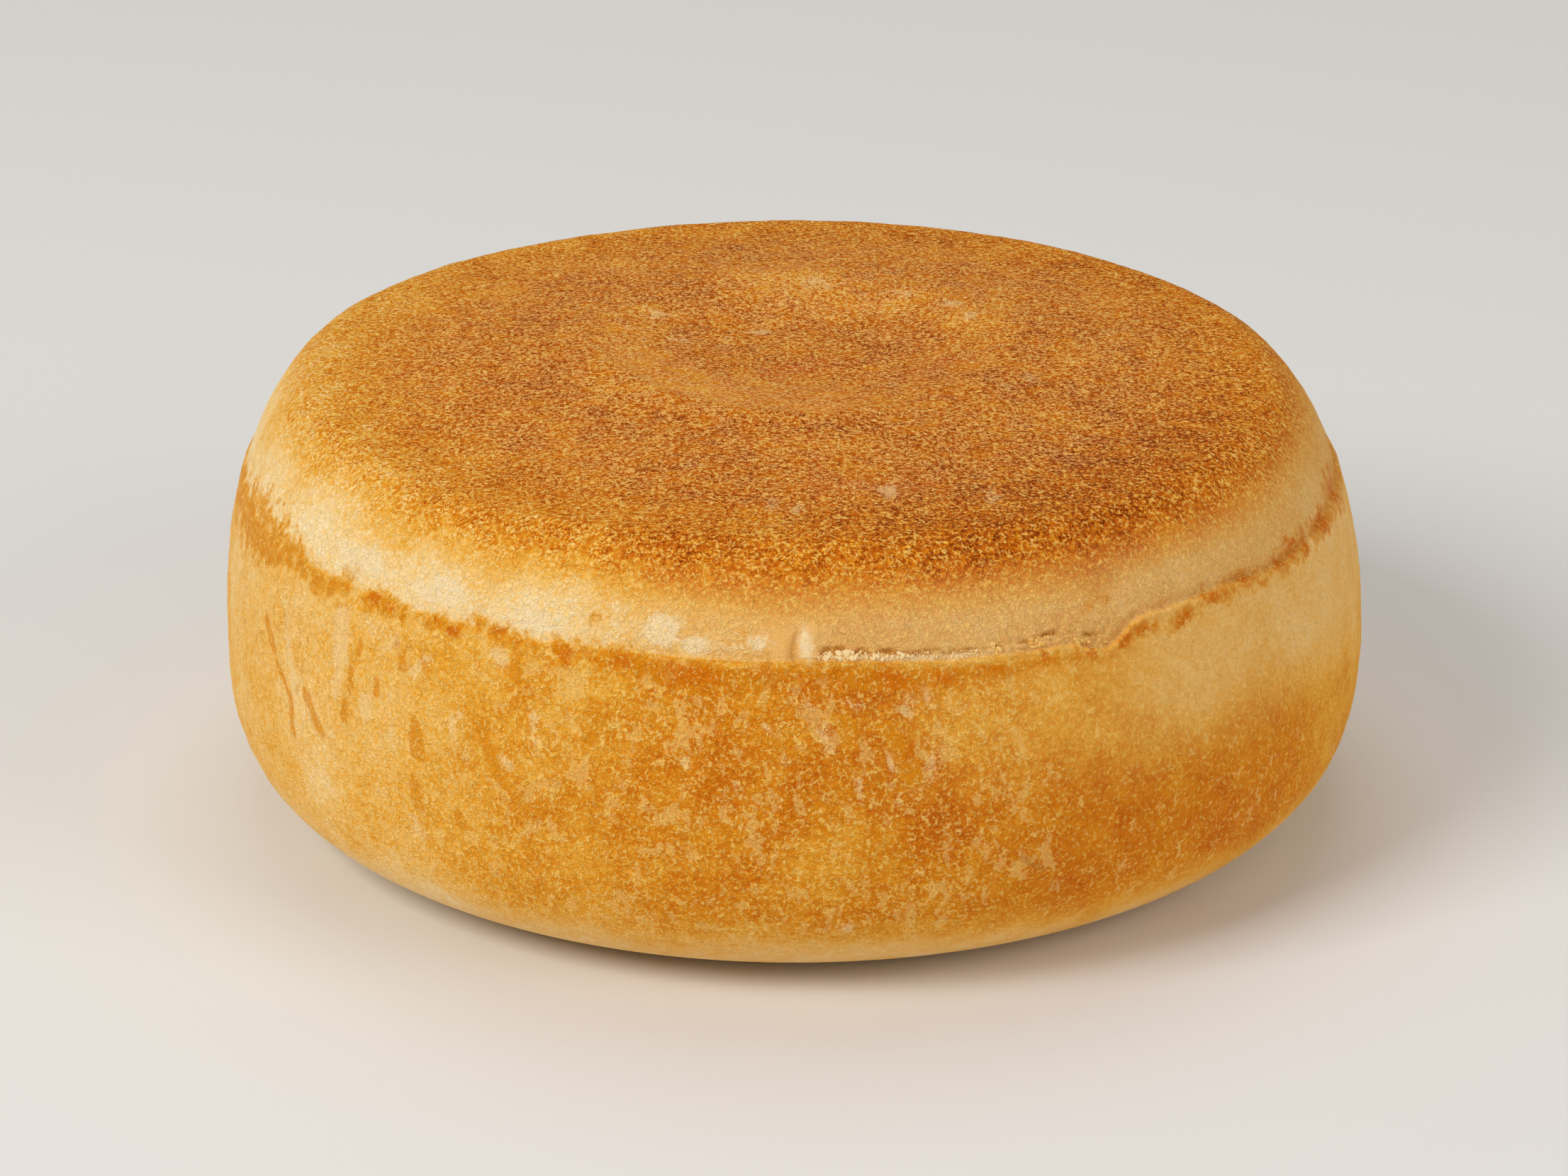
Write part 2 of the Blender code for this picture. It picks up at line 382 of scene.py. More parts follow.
side_pale = (
    (-57.4, -12.9, 4.0, 4.0, 0.10), (-51.2, -17.5, 4.0, 4.0, 0.10), (-38.3, -24.1, 5.0, 3.0, 0.08),
    (12.6, -21.7, 3.0, 4.0, 0.12), (1.9, -17.7, 3.0, 4.0, 0.12), (16.0, -5.5, 3.5, 3.5, 0.08),
)
lower = smooth(-6, -15, over)
lower_brown = high_brown * (1 - lower) + low_brown * lower
# Painted bounce light, in part: the foot's browning drops so that it reads paler in its shade.
foot = smooth(-21, -28, over)
lower_brown = lower_brown * (1 - foot) + (0.50 * low_brown - 0.08) * foot
lower_brown = lower_brown + patches(side_marks, degrees, over) - patches(side_pale, degrees, over)

# The stain that follows the seam: how strong it is, where its middle lies and how far it
# reaches. It stays off the torn gap in front, and is weaker on the lip just under it.
stain_strength = (
    (-180, 0.6), (-100, 0.6), (-85, 0.75), (-74, 0.9), (-66, 1.0), (-61, 0.8), (-58, 0.85),
    (-53, 0.75), (-50, 0.75), (-48, 0.35), (-45.5, 1), (-43, 0.9), (-40.5, 0.6), (-39, 0.3),
    (-36.9, 0.8), (-34.8, 0.95), (-33.5, 0.4), (-31.5, 0.75), (-29, 1), (-26.8, 1), (-24.5, 0.3),
    (-21.7, 0.95), (-20, 0.7), (-16, 1), (24, 1), (31, 0.8), (33, 0.7), (36, 1.0), (38, 0.7),
    (41, 1.0), (44, 0.7), (47, 1.0), (52, 1.0), (55, 0.6), (60, 1.0), (64, 1.0), (67, 0.6),
    (71.5, 1.1), (75, 0.7), (80, 1.0), (100, 0.6), (180, 0.6),
)
stain_middle = (
    (-180, 0), (-85, -1.5), (-74, -0.8), (-66, -0.2), (-58, -0.4), (-53, -0.9), (-50, 0.2),
    (-45.5, -0.2), (-42, -0.5), (-36.9, 0), (-34.8, -0.5), (-31.5, 0.3), (-26.8, -0.1),
    (-21.7, -0.4), (-16, -0.6), (-8, -1), (-2, -0.7), (3, -0.6), (9, -0.9), (14, -1), (20, -0.8),
    (27, -0.5), (31, -0.3), (36, -0.9), (41, -1.1), (46, -0.5), (60, 0.2), (70, 0.1), (180, 0),
)
stain_reach = (
    (-180, 1.2), (-85, 2.6), (-74, 2.8), (-66, 2.8), (-60, 1.9), (-56, 1.1), (-50, 1.2), (-45, 1.1),
    (-40, 0.9), (-30, 1.0), (-22, 1.1), (-16, 1.2), (-8, 1.6), (-2, 1.2), (3, 1), (9, 1.5),
    (14, 1.6), (20, 1.2), (27, 0.8), (33, 0.8), (45, 0.9), (60, 1.1), (71, 1.4), (80, 1.8),
    (100, 1.2), (180, 1.2),
)
from_stain = (over - along(stain_middle, degrees)) / along(stain_reach, degrees)
stain = along(stain_strength, degrees) * np.exp(-(from_stain**2))
stain = stain * (1 - between(-16, -10, 31, 34, degrees) * smooth(-0.15, 0.2, over))
under_lip = between(-16, -8, 30, 34, degrees) * smooth(-0.9, -0.25, over)
stain = stain * (1 - 0.6 * under_lip)
stain_spots = (
    (31.5, 3.0, 2.5, 1.0, 0.5), (-40.5, -3.4, 1.2, 1.2, 0.5), (-37.0, -2.9, 1.8, 0.8, 0.45),
    (-18.8, 2.0, 1.6, 0.6, 0.5),
)
stain = np.maximum(stain, patches(stain_spots, degrees, over)) * ~on_crown
orange_spots = (
    (-45.5, -0.1, 1.3, 0.7, 1), (-43, -0.4, 1.0, 0.6, 0.8), (-41.2, -0.7, 0.8, 0.5, 0.7),
    (-36.9, -0.1, 0.8, 0.5, 0.7), (-34.8, -0.75, 1.2, 0.6, 1), (-32.2, 0.4, 0.8, 0.4, 0.5),
    (-29.1, 0.3, 1.6, 0.5, 1), (-26.9, -0.2, 1.0, 0.6, 1), (-26.7, -1.2, 0.6, 0.8, 0.5),
    (-21.7, -0.7, 1.3, 1.0, 1), (-18.9, -0.4, 0.9, 0.7, 0.7), (-16.1, -0.7, 1.4, 1.0, 1),
    (-15.4, -1.6, 0.8, 0.9, 0.7), (-53.5, -0.9, 0.7, 0.5, 0.6), (-50.2, 0.2, 0.8, 1.0, 0.35),
    (-59.7, -0.6, 1.0, 0.8, 0.4), (-66, -0.6, 1.6, 1.5, 0.35), (-9, -1.2, 4.5, 1.0, 0.95),
    (-3, -1.0, 3.0, 0.8, 0.7), (4.5, -0.8, 2.0, 0.6, 0.5), (9.5, -1.1, 2.6, 1.1, 1),
    (14, -1.4, 2.6, 1.1, 1), (19.5, -0.9, 2.5, 0.7, 0.7), (24.5, -0.5, 2.2, 0.6, 0.8),
    (29.2, -0.4, 1.6, 0.6, 0.8), (33.5, -0.6, 1.3, 0.6, 1.0), (36.5, -1.0, 1.4, 0.7, 1.0),
    (41.5, -1.3, 1.5, 0.8, 1.0), (46, -0.5, 2.4, 0.7, 1.0), (52, -0.3, 2.4, 0.7, 1.0),
    (58.5, 0.1, 1.8, 0.9, 0.9), (61.5, 0.4, 1.8, 1.1, 1.1), (64.6, -0.2, 1.8, 1.1, 0.9),
    (71.5, 0, 2.4, 1.5, 1.1), (79, 0.3, 2.6, 2.0, 1.0), (6.8, -5.8, 1.0, 1.4, 0.8),
    (10.7, -7.2, 1.0, 1.6, 1), (-9.3, -4.3, 0.9, 1.3, 0.6), (-38.0, -10.8, 0.5, 0.7, 0.6),
    (-30.1, -8.3, 0.5, 0.6, 0.6),
)
core = patches(orange_spots, degrees, over) * ~on_crown

# Floury places: torn white crust at the seam, pale flakes on the side, and a film of dust.
# The grain is weaker where dough was stretched smooth, at the foot and low on the right.
floury_spots = (
    (-12.4, 1.7, 2.0, 1.4, 1.3), (-9.0, 0.9, 1.8, 0.9, 1.2), (-5.5, 0.9, 2.0, 0.8, 0.6),
    (-2.8, 1.3, 1.8, 1.1, 0.8), (1.6, 1.1, 1.1, 1.6, 0.9), (-36.8, 1.8, 4.5, 1.4, 1.2),
    (-49.0, 1.9, 4.0, 1.6, 1.2), (-25.7, 1.3, 4.0, 1.1, 1.0), (12.0, 0.3, 10.0, 0.35, 0.7),
)
flour = np.where(on_crown, 0.0, patches(floury_spots, degrees, over))
side_flour = along((
    (-180, 0.5), (-80, 0.35), (-45, 0.7), (-5, 0.75), (20, 0.6), (32, 0.2), (60, 0.1), (100, 0.4),
    (180, 0.5),
), degrees)
smooth_strips = ((-0.8, 1.6, 2.0, 1.2, 1.0), (1.6, 1.2, 1.4, 1.6, 1.0))
grit_lower = along((
    (-180, 0.9), (-90, 0.9), (-55, 1.0), (-25, 1.0), (10, 1.0), (32, 0.70), (75, 0.70), (110, 0.9),
    (180, 0.8),
), degrees)
below_seam = np.where(on_crown, 0, 1 - smooth(-0.1, 0.1, over))
browning = upper_brown * (1 - below_seam) + (lower_brown - 0.14 * under_lip) * below_seam
grit = 1 - below_seam + grit_lower * below_seam * (1 - 0.35 * foot)
grit = grit * (1 - 0.8 * patches(smooth_strips, degrees, over)) * (1 - 0.22 * dish_zone)
side_dust = along((
    (-180, 0.1), (-80, 0.1), (-40, 0.0), (0, 0.0), (25, 0.08), (40, 0.25), (80, 0.3), (180, 0.1),
), degrees)
dusty_spots = (
    (-6.0, -10.0, 8.0, 5.0, 0.15), (3.0, 18.0, 12.0, 7.0, 0.25), (-14.0, 4.0, 5.0, 9.0, 0.2),
)
plain_dust = 0.42
crown_dust = plain_dust + patches(dusty_spots, x_mm, y_mm) + 0.10 * dish_zone
crown_dust = crown_dust * (1 - 0.8 * smooth(30, 38, radius / mm)) * smooth(9, 13, along_shoulder)
band_dust = along((
    (-180, 0.15), (-60, 0.0), (-25, 0.05), (-5, 0.40), (10, 0.55), (40, 0.50), (80, 0.5),
    (180, 0.15),
), degrees) * (1 - fade)
lower_dust = side_dust * (1 - lower) + 0.15 * foot
dust = np.where(on_crown, crown_dust, lower_dust * below_seam + band_dust * (1 - below_seam))

# Single marks: reddish and pale spots on the crown, cream patches and streaks and golden drips on the
# side, long cracks on the left, and painted shade in a short crack low in front, left of the tongue and
# under the lip.
red_spots = (
    (-1.9, -3.3, 1.8, 1.2, 0.7), (0.8, -1.5, 2.4, 1.3, 0.9), (3.4, 0.6, 1.8, 1.0, 0.7),
    (11.3, -3.5, 1.4, 1.7, 0.7), (13.0, -1.0, 1.3, 1.4, 1.0), (6.9, -30.3, 4.0, 1.6, 0.5),
)
red = patches(red_spots, x_mm, y_mm) * on_crown
crown_flecks = (
    (-11.9, 10.7, 1.4, 1.4, 0.7), (-3.0, 8.2, 1.3, 1.4, 0.65), (2.2, 19.2, 1.8, 2.0, 0.7),
    (10.0, 16.6, 1.3, 1.6, 0.6), (14.0, 13.7, 1.3, 1.3, 0.7), (15.6, 10.3, 1.1, 1.3, 0.65),
    (7.8, -31.5, 1.0, 2.0, 0.8), (16.0, -32.6, 0.9, 1.8, 0.6), (-1.8, -35.0, 0.8, 1.7, 0.8),
    (0.3, -35.8, 0.8, 1.5, 0.8), (8.7, -7.4, 1.6, 1.8, 0.35), (20.0, -6.1, 1.6, 1.8, 0.4),
    (-10.0, 5.2, 1.3, 1.6, 0.5), (-5.8, 6.6, 1.1, 1.2, 0.45), (6.3, 14.9, 1.8, 2.0, 0.4),
    (17.7, -8.3, 1.5, 1.6, 0.4),
)
cream_spots = (
    (-44.0, -3.0, 2.6, 1.2, 0.4), (-58.5, -4.5, 2.2, 3.0, 0.4), (-33.0, -10.5, 1.6, 2.4, 0.4),
    (-66.0, -9.0, 2.0, 4.0, 0.4), (1.5, -3.4, 1.3, 1.2, 0.45), (15.7, -4.1, 0.9, 0.8, 0.7),
    (11.2, -3.3, 0.9, 1.2, 0.6), (5.1, -22.5, 0.7, 0.8, 0.9),
)
cream_streaks = (
    (-49.7, -2.7, -49.1, -6.1, 1.2, 1.1), (-49.1, -6.1, -49.6, -9.0, 1.0, 0.9),
    (-45.0, -8.6, -44.8, -9.8, 0.8, 1.0), (-37.0, -3.2, -38.9, -5.0, 0.45, 1.0),
    (-33.2, -7.1, -34.0, -8.6, 0.5, 0.9), (-29.3, -1.6, -28.6, -2.0, 0.9, 0.9),
    (-27.8, -10.1, -27.2, -10.6, 0.6, 0.9), (-24.8, -5.6, -24.6, -8.4, 0.5, 0.6),
    (-60.5, -4.0, -56.5, -12.0, 0.8, 0.8), (-42.0, -8.0, -41.0, -11.5, 0.8, 0.6),
    (-45.5, -2.2, -41.5, -3.0, 0.9, 0.6), (-38.4, -17.6, -37.8, -18.6, 0.7, 0.9),
    (12.4, -1.7, 12.9, -3.2, 0.5, 0.7), (10.2, -3.4, 10.7, -3.8, 0.6, 0.9),
    (3.0, -4.8, 3.3, -6.6, 0.6, 0.6), (-2.2, -4.9, -1.9, -5.4, 0.5, 0.6),
    (8.9, -7.4, 9.1, -8.4, 0.4, 0.9), (12.8, -7.8, 12.5, -9.2, 0.9, 0.65),
    (10.4, -10.2, 9.6, -11.2, 0.6, 0.4), (-10.0, -7.8, -9.6, -8.4, 0.4, 0.8),
    (5.8, -9.2, 6.1, -10.8, 0.45, 0.7), (5.3, -2.9, 6.1, -3.6, 0.6, 0.6),
    (-5.2, -9.6, -4.8, -10.2, 0.5, 0.7), (-0.5, -7.2, -0.1, -7.8, 0.5, 0.6),
)
drip_streaks = (
    (-54.8, -10.6, -51.7, -13.4, 0.55, 0.75), (-46.4, -4.1, -47.3, -7.2, 0.35, 0.8),
    (-47.3, -7.2, -48.0, -11.1, 0.35, 0.9), (-43.4, -6.6, -43.3, -7.8, 0.4, 0.7),
    (-40.5, -3.9, -40.4, -4.8, 0.6, 0.7), (-37.6, -3.9, -37.9, -6.0, 0.35, 0.65),
    (-38.5, -8.8, -38.1, -10.0, 0.4, 1.2), (-38.1, -10.0, -37.7, -11.4, 0.65, 1.5),
    (-38.1, -14.0, -37.9, -16.0, 0.55, 0.9), (-30.3, -7.6, -30.0, -8.6, 0.45, 1.4),
    (-30.0, -8.6, -28.9, -10.6, 0.45, 1.2), (-28.9, -10.6, -27.6, -12.4, 0.35, 0.9),
    (-32.9, -15.9, -32.6, -16.7, 0.6, 0.8), (-63.9, -7.0, -61.7, -9.1, 0.4, 1.0),
    (-60.8, -10.2, -57.5, -12.2, 0.35, 0.9), (-57.5, -12.2, -57.3, -15.2, 0.4, 1.0),
    (-26.9, -1.2, -27.2, -3.0, 0.5, 0.9), (-18.8, -4.2, -19.0, -7.4, 0.45, 0.8),
    (9.0, -5.2, 9.8, -6.6, 0.7, 1.1), (9.8, -6.6, 10.9, -8.8, 0.8, 1.3),
    (5.0, -4.3, 5.3, -6.0, 0.8, 0.8),
)
drips = streaks(drip_streaks, degrees, over) * below_seam
cream_marks = np.where(on_crown, patches(crown_flecks, x_mm, y_mm), patches(cream_spots, degrees, over))
cream_marks = np.maximum(cream_marks, streaks(cream_streaks, degrees, over) * below_seam)
cracks = hump(degrees, -62, 13) * hump(over, -10, 6) * (over < 0)
crack_level = -18.0
crack_at = crack_middle + 0.35 * np.sin(over * 2.2) - 1.6 * (over - crack_level)
short_crack = hump(degrees, crack_at, 0.5) * np.exp(-(((degrees - 22.6) / 1.5) ** 4))
short_crack = short_crack * (np.abs(over - crack_level) < 2)
lip_shade = hump(over, lip_top + 0.22, 0.16) * between(3.0, 4.2, 17, 21, degrees)
shade = 0.8 * short_crack + 0.7 * tongue_line + 0.75 * lip_shade

# The gap values carry the torn gaps and the shade lines, which the finish paints as shade.
kept_on_points = {
    "over": over, "browning": browning, "grit": grit, "stain": stain, "core": core, "red": red,
    "cream": cream_marks, "cracks": cracks, "drips": drips, "flour": flour,
    "flakes": side_flour * below_seam, "dust": dust, "shaded_gap": np.maximum(shaded_gap, shade),
}
for name, values in kept_on_points.items():
    stored = roll_mesh.attributes.new(name, "FLOAT", "POINT")
    stored.data.foreach_set("value", values.astype(np.float32))
wrapped = np.stack([np.sin(angle), -np.cos(angle), above / belly_radius], 1) * belly_radius / mm
stored = roll_mesh.attributes.new("wrapped", "FLOAT_VECTOR", "POINT")
stored.data.foreach_set("vector", wrapped.astype(np.float32).ravel())


class Field:
    """A shader socket that can be reckoned with: arithmetic on it adds Math nodes."""

    def __init__(self, finish, socket):
        self.finish = finish
        self.socket = socket

    def math(self, operation, first, second):
        """Adds a Math node."""
        return self.finish.node("ShaderNodeMath", {"operation": operation}, {0: first, 1: second})

    def __add__(self, other):
        return self.math("ADD", self, other)

    def __sub__(self, other):
        return self.math("SUBTRACT", self, other)

    def __rsub__(self, other):
        return self.math("SUBTRACT", other, self)

    def __mul__(self, other):
        return self.math("MULTIPLY", self, other)

    __radd__ = __add__
    __rmul__ = __mul__

    def size(self):
        """The value without its sign."""
        return self.math("ABSOLUTE", self, 0.0)


class Finish:
    """A material and its nodes."""

    def __init__(self, name):
        self.material = bpy.data.materials.new(name)
        self.material.use_nodes = True
        self.tree = self.material.node_tree
        self.shader = self.tree.nodes["Principled BSDF"]

    def node(self, kind, settings, values, output=0):
        """Adds a node, sets it, and gives its sockets values or links; returns one output."""
        made = self.tree.nodes.new(kind)
        for name, value in settings.items():
            setattr(made, name, value)
        for place, value in values.items():
            if isinstance(value, Field):
                self.tree.links.new(value.socket, made.inputs[place])
            else:
                made.inputs[place].default_value = value
        return Field(self, made.outputs[output])

    def stored(self, name, output="Fac"):
        """What is kept on the points under a name."""
        return self.node("ShaderNodeAttribute", {"attribute_name": name}, {}, output)

    def mix(self, share, first, second):
        """Mixes two colours: the first at share 0, the second at share 1."""
        values = {0: share, 6: first, 7: second}
        return self.node("ShaderNodeMix", {"data_type": "RGBA"}, values, output=2)

    def rise(self, value, low, high):
        """0 up to low, 1 from high, and a smooth rise between."""
        values = {"Value": value, "From Min": low, "From Max": high}
        return self.node("ShaderNodeMapRange", {"interpolation_type": "SMOOTHSTEP"}, values)

    def ramp(self, value, stops):
        """A colour for each value, from (value, colour) pairs that start with the two ends."""
        made = self.node("ShaderNodeValToRGB", {}, {"Fac": value})
        elements = made.socket.node.color_ramp.elements
        for stop, (at, colour) in enumerate(stops):
            element = elements[stop] if stop < 2 else elements.new(at)
            element.position = at
            element.color = colour
        return made

    def scaled(self, place, size, stretch=(1, 1, 1), shift=0.0):
        """A place in units of the given size in mm."""
        factors = [share / size for share in stretch]
        values = {0: place, 1: factors, 2: (shift, shift, shift)}
        return self.node("ShaderNodeVectorMath", {"operation": "MULTIPLY_ADD"}, values)

    def noise(self, place, size, detail, roughness, stretch=(1, 1, 1), shift=0.0, output=0):
        """Noise from 0 to 1 with patches of about the given size in mm."""
        values = {"Vector": self.scaled(place, size, stretch, shift), "Scale": 1.0}
        values.update({"Detail": detail, "Roughness": roughness})
        return self.node("ShaderNodeTexNoise", {}, values, output)

    def edges(self, place, size):
        """Distance to the edges of scattered cells of the given size in mm, 0 on the edges."""
        values = {"Vector": self.scaled(place, size), "Scale": 1.0}
        return self.node("ShaderNodeTexVoronoi", {"feature": "DISTANCE_TO_EDGE"}, values, "Distance")

    def warped(self, place, size, reach):
        """The place, pushed about by noise of the given size, by about reach mm."""
        push = self.noise(place, size, 1, 0.55, output="Color")
        values = {0: push, 1: [4 * reach] * 3, 2: [-2 * reach] * 3}
        push = self.node("ShaderNodeVectorMath", {"operation": "MULTIPLY_ADD"}, values)
        return self.node("ShaderNodeVectorMath", {"operation": "ADD"}, {0: place, 1: push})

    def wear(self, socket, value):
        """Feeds the shader's socket."""
        self.tree.links.new(value.socket, self.shader.inputs[socket])


def tone(red, green, blue):
    """A colour as a shader takes it, from its screen values of 0 to 255."""
    return [((part / 255 + 0.055) / 1.055) ** 2.4 for part in (red, green, blue)] + [1.0]


crust = Finish("crust")
place = crust.node("ShaderNodeTexCoord", {}, {}, output="Object")
place = crust.node("ShaderNodeVectorMath", {"operation": "SCALE"}, {0: place, "Scale": 1 / mm})
wrap = crust.stored("wrapped", "Vector")
over_seam = crust.stored("over")
grit = crust.stored("grit")
on_side = 1 - crust.rise(over_seam, -0.2, 0.1)
on_top = crust.rise(over_seam, 4.0, 7.6)

# Grain, finest on the crown: small flakes of crust, with painted shade in the creases between some of
# them and painted highlights on their curled tips.
from_edge = crust.edges(crust.warped(place, 0.55, 0.38), 0.50)
strokes = crust.noise(place, 0.8, 2, 0.6, stretch=(0.55, 1, 1), shift=15.0) - 0.5
fine = crust.noise(place, 0.36, 2, 0.6) - 0.5
curl = crust.noise(place, 0.60, 1, 0.5, shift=30.0) - 0.5
tip_highlight = (1 - crust.rise(curl.size(), 0.015, 0.095)) * crust.rise(fine, -0.03, 0.07)
crease_shade = (1 - crust.rise(from_edge, 0.02, 0.20)) * crust.rise(strokes + grit * 0.2, 0.08, 0.28)
grain_and_shade = crust.rise(from_edge, 0.10, 0.36) * 0.12 - crease_shade * 0.34 + fine + strokes * on_top * 0.75
coarse = crust.noise(place, 2.2, 2, 0.65, shift=3.0) - 0.5
broad = crust.noise(place, 7.0, 1, 0.5, shift=8.0) - 0.5

# Golden stains along the seam and on the side with orange in their middles, all ragged.
blotch = crust.noise(place, 1.3, 4, 0.68, shift=17.0) - 0.5
stain_share = crust.rise(crust.stored("stain") + blotch * 3.0 + grain_and_shade * 0.7, 0.20, 0.95)
stain_share = stain_share * crust.rise(crust.stored("stain"), 0.04, 0.22)
core_share = crust.rise(crust.stored("core") + blotch * 2.2 + grain_and_shade * 0.6, 0.40, 0.95)
core_share = core_share * crust.rise(crust.stored("core"), 0.05, 0.25)
brown = crust.stored("browning") + coarse * (on_top * 0.12 + 0.24) + broad * 0.24
brown = brown + (0.38 - brown * 0.6) * stain_share
# Painted shade: the grain's creases darken the brown, standing in for shade in the crust's hollows.
brown = brown - grain_and_shade * grit * (on_top * 0.60 + 0.32)
browned = crust.ramp(brown, (
    (0.00, tone(255, 233, 186)), (1.00, tone(120, 46, 2)), (0.13, tone(254, 217, 152)),
    (0.26, tone(250, 196, 106)), (0.40, tone(240, 170, 54)), (0.55, tone(224, 138, 24)),
    (0.70, tone(206, 105, 12)), (0.85, tone(166, 76, 2)),
))
colour = crust.mix(crust.stored("red") * (0.75 + blotch * 1.5), browned, tone(204, 92, 22))

# Floury flakes, paler than the crust round them, a dusty film over the crown, and the cream
# marks, drips and stains laid over them in turn.
clusters = crust.noise(wrap, 5.0, 1, 0.5, shift=25.0) - 0.5
floury = crust.noise(wrap, 1.25, 3, 0.65, stretch=(1, 1, 0.75), shift=9.0) + clusters * 0.35
flake_mask = crust.rise(floury + crust.stored("flakes") * 0.12 + tip_highlight * 0.10, 0.64, 0.72)
flake_mask = flake_mask * on_side * (1 - stain_share * 0.6)
cream = crust.rise(crust.stored("cream") + blotch * 1.6 + grain_and_shade * 0.5, 0.20, 0.75)
torn_white = crust.rise(crust.stored("flour") + blotch * 1.3 + grain_and_shade * 0.4, 0.30, 0.85)
pale_grain = crust.rise(grain_and_shade + coarse * 0.4, -0.14, 0.14)
dusty = crust.stored("dust") * (1 - on_top + on_top * pale_grain)
film = crust.mix(on_top, tone(228, 178, 120), tone(240, 180, 116))
colour = crust.mix(dusty, colour, film)
colour = crust.mix(flake_mask * 0.42, colour, tone(250, 204, 118))
colour = crust.mix(cream * (0.64 - on_top * 0.08), colour, tone(250, 212, 148))
colour = crust.mix(torn_white * 0.70, colour, tone(250, 226, 180))
drip = crust.rise(crust.stored("drips") + blotch * 0.8 + grain_and_shade * 0.25, 0.14, 0.50)
colour = crust.mix(drip * 0.80, colour, tone(226, 142, 22))
colour = crust.mix(stain_share * 0.60, colour, tone(222, 138, 8))
colour = crust.mix(core_share * 0.78, colour, tone(214, 108, 0))

# Long cracks down the left side, the painted shade under the torn edge, and painted highlights on the
# bright tips of flakes. The same grain stands up as a low bump.
bands = crust.noise(wrap, 2.4, 1, 0.5, stretch=(1, 1, 0.22), shift=31.0) - 0.5
long_crack = (1 - crust.rise(bands.size(), 0.004, 0.026)) * crust.stored("cracks")
long_crack = long_crack * crust.rise(strokes, -0.10, 0.05)
colour = crust.mix(long_crack * 0.6, colour, tone(208, 138, 48))
# Painted shade: the torn gaps, the line over the lip, the groove left of the tongue and the short crack
# turn to a shaded tan, partly the tan of the torn dough.
colour = crust.mix(crust.stored("shaded_gap") * 0.90, colour, tone(190, 124, 50))
# Painted highlight: bright glints on the tips of flakes.
colour = crust.mix(tip_highlight * grit * (0.54 + on_top * 0.12), colour, tone(255, 208, 110))
crust.wear("Base Color", colour)
crust.wear("Roughness", 0.72 - stain_share * 0.2)
hills = crust.rise(from_edge, 0.0, 0.30) * 0.07 + fine * 0.14 + strokes * on_top * 0.24 + tip_highlight * 0.04
hills = hills * (0.15 + 0.6 * grit) + coarse * 0.10
bump = {"Strength": 1.0, "Distance": mm, "Height": hills}
crust.wear("Normal", crust.node("ShaderNodeBump", {}, bump, output="Normal"))
crust.shader.inputs["Specular IOR Level"].default_value = 0.05
roll_mesh.materials.append(crust.material)
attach(roll, "root")
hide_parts("bread_roll")

# Torn crumbs: bits of the white inside that stand along the lip in front, where the crown has
# torn away from the side. Each is a lumpy grain of dough that still sticks to the crust.
crumb_count = 300
crumb_random = np.random.default_rng(23)
bpy.ops.object.select_all(action="DESELECT")
bpy.ops.mesh.primitive_ico_sphere_add(subdivisions=2, radius=mm, location=(0, 0, 0))
crumbs = bpy.context.object
crumbs.name = "torn_crumbs"
bpy.ops.object.mode_set(mode="EDIT")
bpy.ops.mesh.select_all(action="SELECT")
for copy in range(crumb_count - 1):
    bpy.ops.mesh.duplicate()
bpy.ops.mesh.select_all(action="DESELECT")
bpy.ops.object.mode_set(mode="OBJECT")
balls = np.empty(len(crumbs.data.vertices) * 3)
crumbs.data.vertices.foreach_get("co", balls)
balls = balls.reshape(crumb_count, -1, 3) / mm
ball_points = balls.shape[1]
on_lip = (degrees > 2.4) & (degrees < 20) & (over > 0.10) & (over < 0.60)
on_teeth = (degrees > 19) & (degrees < 32.5) & (over > 0.2) & (over < 0.9) & (uneven > 0)
chosen = crumb_random.choice(np.flatnonzero(on_lip | on_teeth), crumb_count, replace=False)
crumb_at = degrees[chosen]
largest = along((
    (-180, 0.1), (2, 0.20), (4.8, 0.34), (6.2, 0.42), (8, 0.24), (10, 0.18), (13, 0.12), (19, 0.12),
    (21, 0.30), (23, 0.16), (25, 0.28), (28, 0.16), (30, 0.28), (33, 0.12), (180, 0.1),
), crumb_at) * mm
crumb_size = largest * (0.25 + 0.75 * crumb_random.uniform(0, 1, crumb_count) ** 2)
skew = np.eye(3) + crumb_random.uniform(-0.5, 0.5, (crumb_count, 3, 3))
crumb_middle = points[chosen] - normals[chosen] * crumb_size[:, None] * 0.15
outward = np.einsum("cpi,cij->cpj", balls, skew)
crumb_points = crumb_middle[:, None, :] + outward * crumb_size[:, None, None]
crumb_points = crumb_points.reshape(-1, 3)
lumpy = fractal(crumb_points, 0.12 * mm, 2, 4.4) * 0.3 * np.repeat(crumb_size, ball_points)
crumb_points = crumb_points + outward.reshape(-1, 3) * lumpy[:, None]
crumbs.data.vertices.foreach_set("co", crumb_points.astype(np.float32).ravel())
crumbs.data.shade_smooth()
crumbs.data.update()
toasted = smooth(17, 21, crumb_at) * 0.8 + crumb_random.uniform(0, 0.3, crumb_count)
toasted = np.repeat(toasted, ball_points).astype(np.float32)
crumbs.data.attributes.new("toasted", "FLOAT", "POINT").data.foreach_set("value", toasted)
crumb = Finish("torn_crumb")
crumb.wear("Base Color", crumb.mix(crumb.stored("toasted"), tone(248, 222, 170), tone(240, 190, 98)))
crumb.shader.inputs["Roughness"].default_value = 0.7
crumb.shader.inputs["Specular IOR Level"].default_value = 0.2
crumbs.data.materials.append(crumb.material)
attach(crumbs, "root")

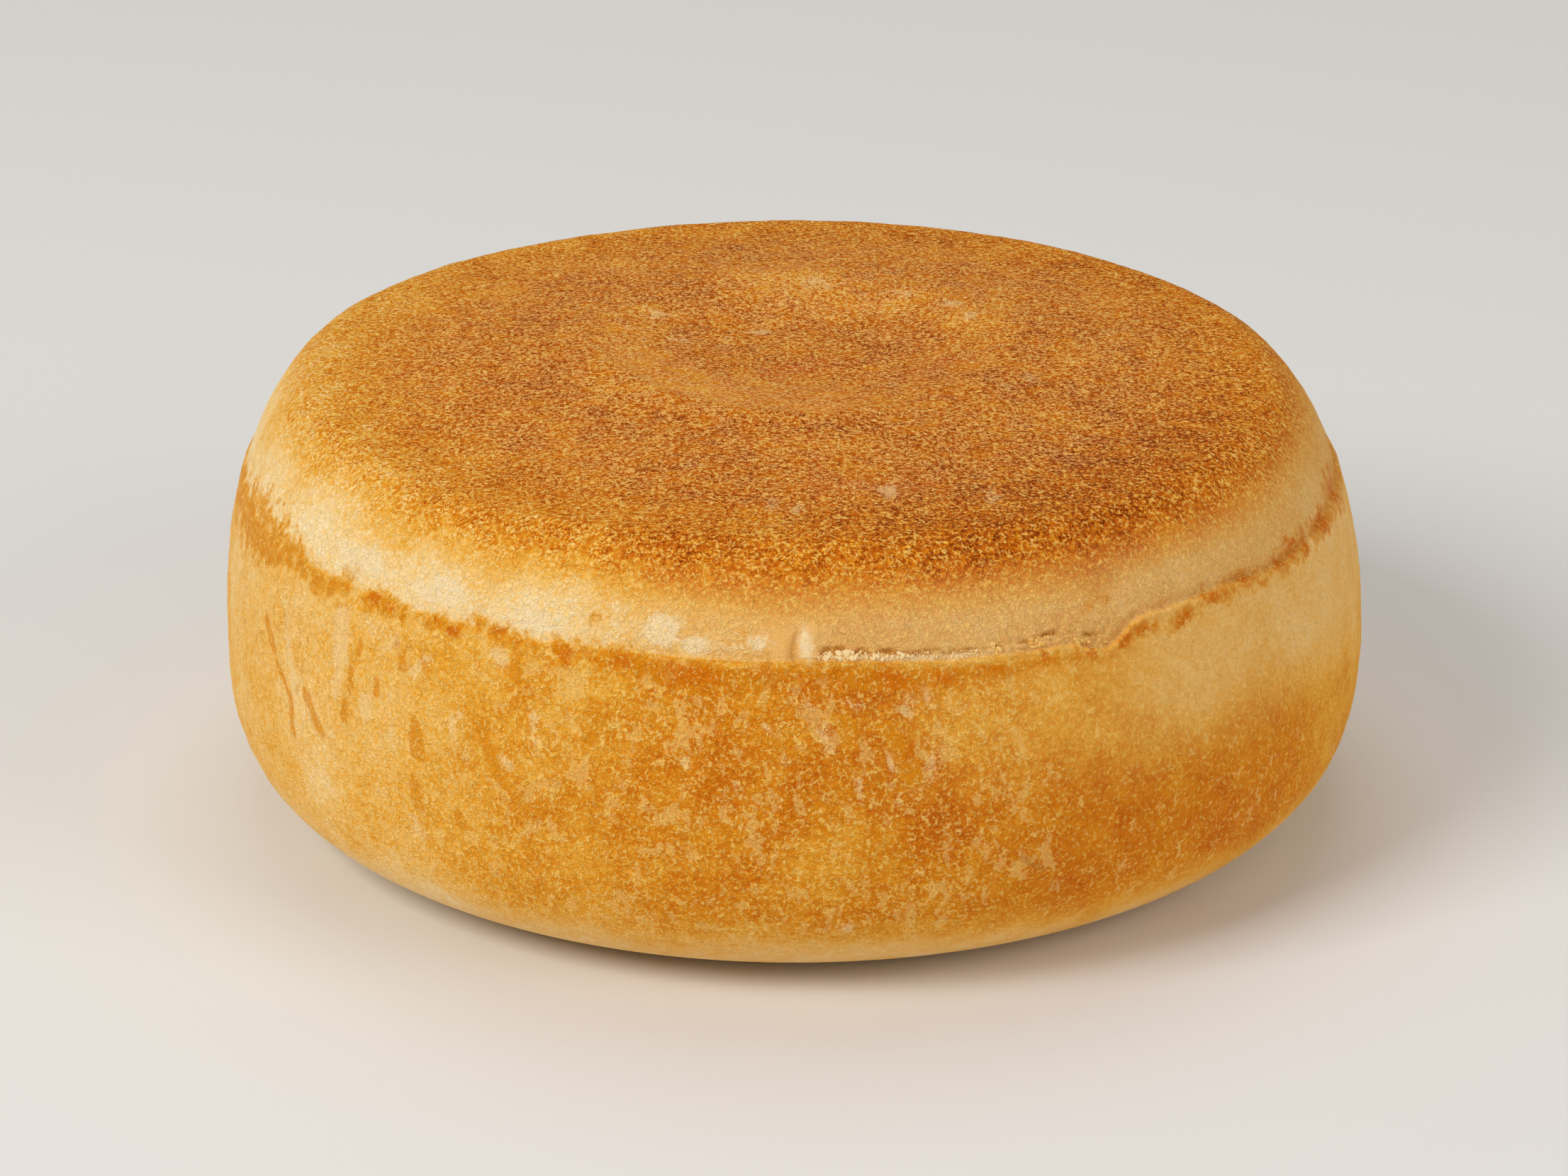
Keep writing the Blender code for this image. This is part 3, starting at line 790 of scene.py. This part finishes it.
# Floor: a plain pale table top, wide enough to fill the view from every side.
floor_size = 6.0
bpy.ops.object.select_all(action="DESELECT")
bpy.ops.mesh.primitive_plane_add(size=floor_size, location=(0, 0, 0))
floor = bpy.context.object
floor.name = "floor"
table = Finish("table_top")
table.shader.inputs["Base Color"].default_value = tone(234, 232, 228)
table.shader.inputs["Roughness"].default_value = 0.8
floor.data.materials.append(table.material)

# Light: a large soft box high on the left in front, weaker ones on the right and above the
# back, and a pale room.
world = bpy.data.worlds.new("room")
bpy.context.scene.world = world
world.use_nodes = True
background = world.node_tree.nodes["Background"]
background.inputs["Color"].default_value = (1.0, 0.98, 0.95, 1)
background.inputs["Strength"].default_value = 0.31


def soft_box(name, location, width, power):
    """A square area light that faces the roll."""
    light = bpy.data.lights.new(name, "AREA")
    light.size = width
    light.energy = power
    lamp = bpy.data.objects.new(name, light)
    lamp.location = location
    toward_roll = Vector((0, 0, roll_height / 2)) - Vector(location)
    lamp.rotation_euler = toward_roll.to_track_quat("-Z", "Y").to_euler()
    bpy.context.collection.objects.link(lamp)


soft_box("key", (-0.62, -0.48, 0.66), 0.45, 5.8)
soft_box("fill", (0.72, -0.42, 0.42), 0.5, 2.1)
soft_box("top", (0.0, 0.35, 0.9), 0.6, 1.7)

# Camera: a long lens a little above the roll, as in the photograph, which is 2212 pixels wide.
photo_width, photo_height = 2212, 1659
focal_pixels = 7222
camera_distance = 0.450
camera_lift = np.radians(21.36)
roll_middle = Vector((0, 0, 22 * mm))
roll_middle_pixel = (1119.3, 760.1)
backward = Vector((0, -np.cos(camera_lift), np.sin(camera_lift)))
upward = Vector((0, np.sin(camera_lift), np.cos(camera_lift)))
pixel_size = camera_distance / focal_pixels
aim = roll_middle + Vector((1, 0, 0)) * (photo_width / 2 - roll_middle_pixel[0]) * pixel_size
aim -= upward * (photo_height / 2 - roll_middle_pixel[1]) * pixel_size
camera_data = bpy.data.cameras.new("camera")
camera_data.sensor_width = 36
camera_data.lens = camera_data.sensor_width * focal_pixels / photo_width
camera_data.clip_start = 0.01
camera = bpy.data.objects.new("camera", camera_data)
camera.location = roll_middle + backward * camera_distance
camera.rotation_euler = (aim - camera.location).to_track_quat("-Z", "Y").to_euler()
bpy.context.collection.objects.link(camera)
bpy.context.scene.camera = camera
bpy.context.scene.view_settings.view_transform = "Standard"
